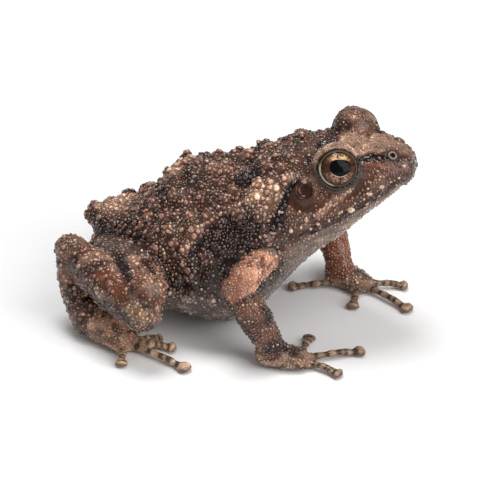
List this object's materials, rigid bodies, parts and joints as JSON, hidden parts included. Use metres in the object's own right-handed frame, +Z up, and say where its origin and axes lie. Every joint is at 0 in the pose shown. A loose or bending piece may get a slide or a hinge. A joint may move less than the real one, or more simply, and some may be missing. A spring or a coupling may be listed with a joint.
{
  "type": "greenhouse frog",
  "caption": "Life-size still model of a greenhouse frog sitting alert on the floor, head raised, hind legs folded beside its warty brown body.",
  "frame": {"origin": "on the floor, on the flat of the belly, in the body's middle plane", "axes": "+X the way the frog looks, +Y its left side, +Z up"},
  "size_m": [0.0282, 0.0245, 0.0179],
  "materials": {
    "skin": "moist, warty, mottled dark brown",
    "digit_skin": "moist, tan with dark bars",
    "eye": "wet gloss, gold and black"
  },
  "bodies": {
    "root": {"torso": "skin", "head": "skin", "upper_arm_right": "skin", "forearm_right": "skin", "hand_right": "skin", "thigh_right": "skin", "shank_right": "skin", "tarsus_right": "skin", "foot_right": "skin", "finger1_right": "digit_skin", "finger2_right": "digit_skin", "finger3_right": "digit_skin", "finger4_right": "digit_skin", "toe1_right": "digit_skin", "toe2_right": "digit_skin", "toe3_right": "digit_skin", "toe4_right": "digit_skin", "toe5_right": "digit_skin", "eye_right": "eye", "upper_arm_left": "skin", "forearm_left": "skin", "hand_left": "skin", "thigh_left": "skin", "shank_left": "skin", "tarsus_left": "skin", "foot_left": "skin", "finger1_left": "digit_skin", "finger2_left": "digit_skin", "finger3_left": "digit_skin", "finger4_left": "digit_skin", "toe1_left": "digit_skin", "toe2_left": "digit_skin", "toe3_left": "digit_skin", "toe4_left": "digit_skin", "toe5_left": "digit_skin", "eye_left": "eye"}
  },
  "joints": []
}
